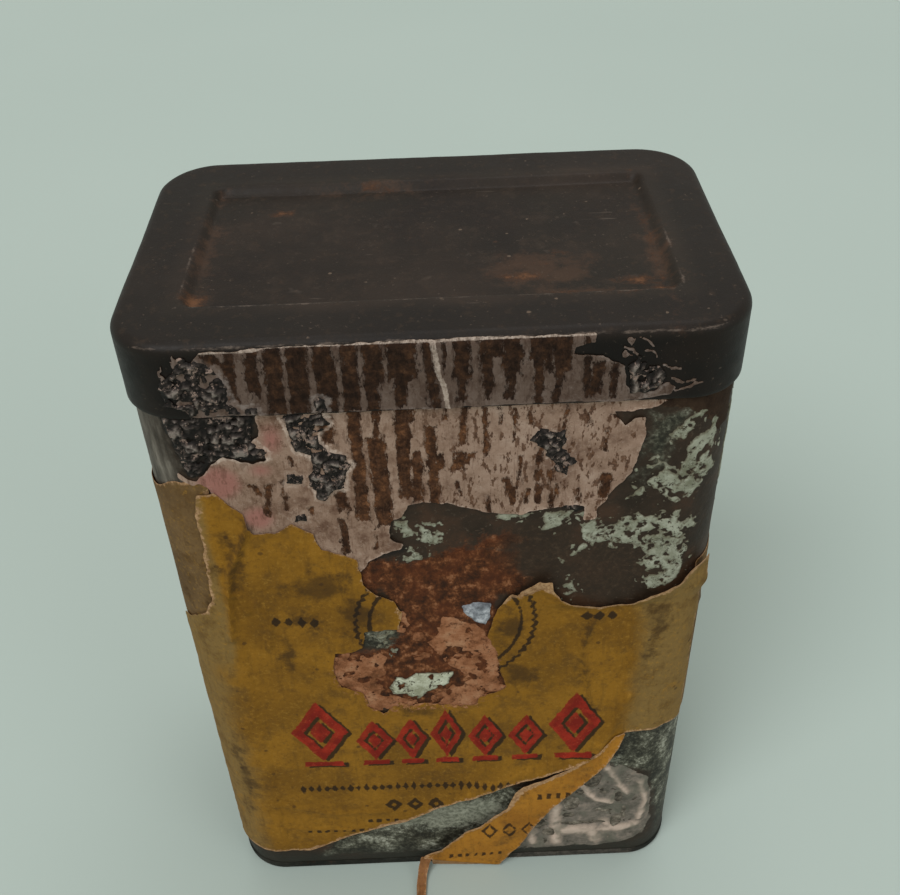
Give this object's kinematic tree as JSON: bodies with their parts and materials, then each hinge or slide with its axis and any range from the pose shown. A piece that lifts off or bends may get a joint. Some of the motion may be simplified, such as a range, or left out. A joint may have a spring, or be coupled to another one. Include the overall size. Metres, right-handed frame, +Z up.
{
  "type": "spice tin",
  "caption": "Small upright rectangular spice tin with a slip-on lid with a sunk panel, folded base seam and torn paper labels.",
  "frame": {"origin": "centre of the foot ring, on the plane the tin rests on", "axes": "+Z up the tin, +X across the wide side to the viewer's right, -Y out of the labelled front"},
  "size_m": [0.057, 0.0439, 0.0833],
  "materials": {
    "lid_lacquer": "worn dark lacquer, satin",
    "aged_tinplate": "stained and rusted, satin",
    "bare_tinplate": "tarnished",
    "solder": "dull",
    "yellow_paper": "matt",
    "orange_paper": "matt",
    "pink_ply": "matt, fibrous",
    "buff_paper": "matt"
  },
  "bodies": {
    "tin": {"body_wall": "aged_tinplate", "base": "bare_tinplate", "side_seam_solder": "solder", "front_label": "yellow_paper", "label_ply": "pink_ply", "label_tongue": "orange_paper", "side_label": "buff_paper"},
    "lid": {"lid": "lid_lacquer", "lid_label_ply": "pink_ply"}
  },
  "joints": [
    {"name": "lid_lift", "type": "slide", "parent": "tin", "child": "lid", "axis": [0, 0, 1], "range_m": [0, 0.03]}
  ]
}
